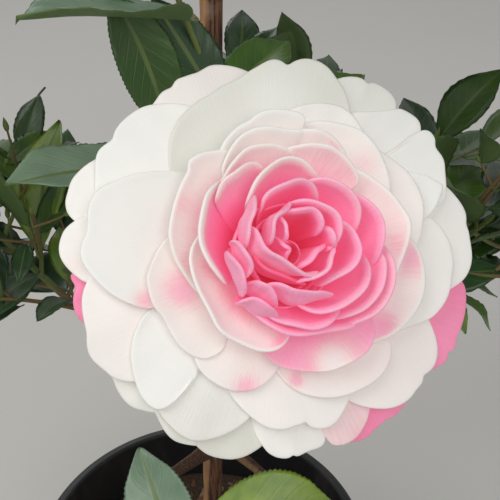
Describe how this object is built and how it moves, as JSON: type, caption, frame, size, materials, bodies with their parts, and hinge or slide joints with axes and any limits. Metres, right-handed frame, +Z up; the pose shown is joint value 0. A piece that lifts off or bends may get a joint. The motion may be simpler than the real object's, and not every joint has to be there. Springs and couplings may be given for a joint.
{
  "type": "potted camellia shrub",
  "caption": "Young camellia shrub on a single leaning trunk in a round tapered nursery pot, with glossy oval leaves and one large open double bloom.",
  "frame": {"origin": "middle of the pot's flat underside", "axes": "+Z up along the trunk; the open bloom faces -Y; +X to the right as the bloom is seen"},
  "size_m": [0.4704, 0.4428, 0.8987],
  "materials": {
    "pot": "black moulded plastic with a low sheen",
    "potting_mix": "loose brown bark mix",
    "bark": "tan and dark brown fibrous bark",
    "foliage": "glossy dark green leaves",
    "calyx": "soft green bud scales",
    "petal": "satin white petals that turn pink towards the middle"
  },
  "bodies": {
    "root": {"pot": "pot", "potting_mix": "potting_mix", "trunk": "bark", "bough_low_front_left": "bark", "bough_low_front_right": "bark", "bough_low_right": "bark", "bough_low_back": "bark", "bough_low_left": "bark", "bough_mid_right": "bark", "bough_mid_back_right": "bark", "bough_mid_back_left": "bark", "bough_mid_left": "bark", "bough_upper_front": "bark", "bough_top_left": "bark", "bough_top_right": "bark", "bough_top": "bark", "bough_bloom": "bark", "foliage_low_front_left": "foliage", "foliage_low_front_right": "foliage", "foliage_low_right": "foliage", "foliage_low_back": "foliage", "foliage_low_left": "foliage", "foliage_mid_right": "foliage", "foliage_mid_back_right": "foliage", "foliage_mid_back_left": "foliage", "foliage_mid_left": "foliage", "foliage_upper_front": "foliage", "foliage_top_left": "foliage", "foliage_top_right": "foliage", "foliage_top": "foliage", "foliage_bloom_shoot": "foliage", "calyx": "calyx", "bloom": "petal"}
  },
  "joints": []
}
